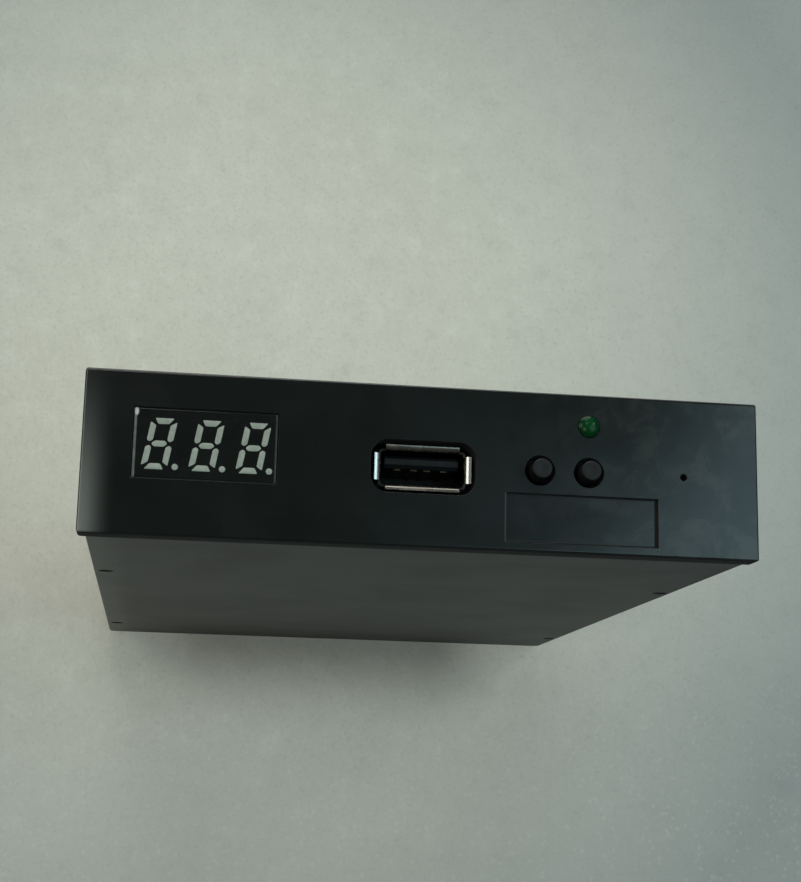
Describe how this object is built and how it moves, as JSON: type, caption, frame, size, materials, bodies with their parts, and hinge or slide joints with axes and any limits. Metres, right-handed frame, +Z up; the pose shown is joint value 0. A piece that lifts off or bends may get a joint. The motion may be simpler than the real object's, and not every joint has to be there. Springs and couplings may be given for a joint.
{
  "type": "floppy drive emulator",
  "caption": "Flat black drive-bay box that emulates a floppy drive: front panel with digit display, USB socket, push buttons and lamp, and pin headers at the rear.",
  "frame": {"origin": "on the base, under the middle of the part's box", "axes": "+X to the right seen from the front, the front panel faces -Y, +Z up as fitted in a drive bay"},
  "size_m": [0.1016, 0.148, 0.0244],
  "materials": {
    "panel_plastic": "fine moulded grain, satin black",
    "case_plastic": "fine moulded grain, dull dark grey",
    "screw_steel": "blackened",
    "board_laminate": "green solder mask",
    "display_plastic": "black face on a grey block",
    "display_bars": "milky, unlit",
    "tinned_lead": "tinned",
    "socket_shell": "bright nickel",
    "moulded_black": "moulded black",
    "gold_contact": "thin gold plating",
    "lamp_green": "tinted clear, unlit",
    "button_plastic": "moulded, slightly polished tip",
    "spring_steel": "stamped",
    "can_metal": "bright drawn can",
    "ceramic_tan": "fired ceramic",
    "header_ivory": "moulded ivory",
    "jumper_plastic": "moulded"
  },
  "bodies": {
    "drive": {"front_panel": "panel_plastic", "bottom_case": "case_plastic", "top_cover": "case_plastic", "cover_screws": "screw_steel", "main_board": "board_laminate", "board_screws": "screw_steel", "display_block": "display_plastic", "display_bars": "display_bars", "display_pins": "tinned_lead", "usb_shell": "socket_shell", "usb_tongue": "moulded_black", "usb_contacts": "gold_contact", "lamp_lens": "lamp_green", "lamp_leads": "tinned_lead", "switch_block_left": "moulded_black", "switch_block_right": "moulded_black", "switch_frame_left": "spring_steel", "switch_frame_right": "spring_steel", "switch_dome_left": "spring_steel", "switch_dome_right": "spring_steel", "switch_leads": "tinned_lead", "controller_chip": "moulded_black", "controller_leads": "tinned_lead", "driver_chip": "moulded_black", "driver_leads": "tinned_lead", "crystal_can": "can_metal", "crystal_leads": "tinned_lead", "regulator": "moulded_black", "regulator_leads": "tinned_lead", "capacitor_can": "can_metal", "capacitor_base": "moulded_black", "chip_resistors": "moulded_black", "chip_capacitors": "ceramic_tan", "data_header": "moulded_black", "data_pins": "gold_contact", "power_header": "header_ivory", "power_pins": "tinned_lead", "jumper_header": "moulded_black", "jumper_pins": "gold_contact"},
    "left_button": {"button_left": "button_plastic"},
    "right_button": {"button_right": "button_plastic"},
    "jumper": {"jumper_cap": "jumper_plastic", "jumper_clip": "gold_contact"}
  },
  "joints": [
    {"name": "left_button_press", "type": "slide", "parent": "drive", "child": "left_button", "axis": [0, 1, 0], "range_m": [0, 0.00025], "stiffness_N_per_m": 4000},
    {"name": "right_button_press", "type": "slide", "parent": "drive", "child": "right_button", "axis": [0, 1, 0], "range_m": [0, 0.00025], "stiffness_N_per_m": 4000},
    {"name": "jumper_pull", "type": "slide", "parent": "drive", "child": "jumper", "axis": [0, 1, 0], "range_m": [0, 0.006]}
  ]
}
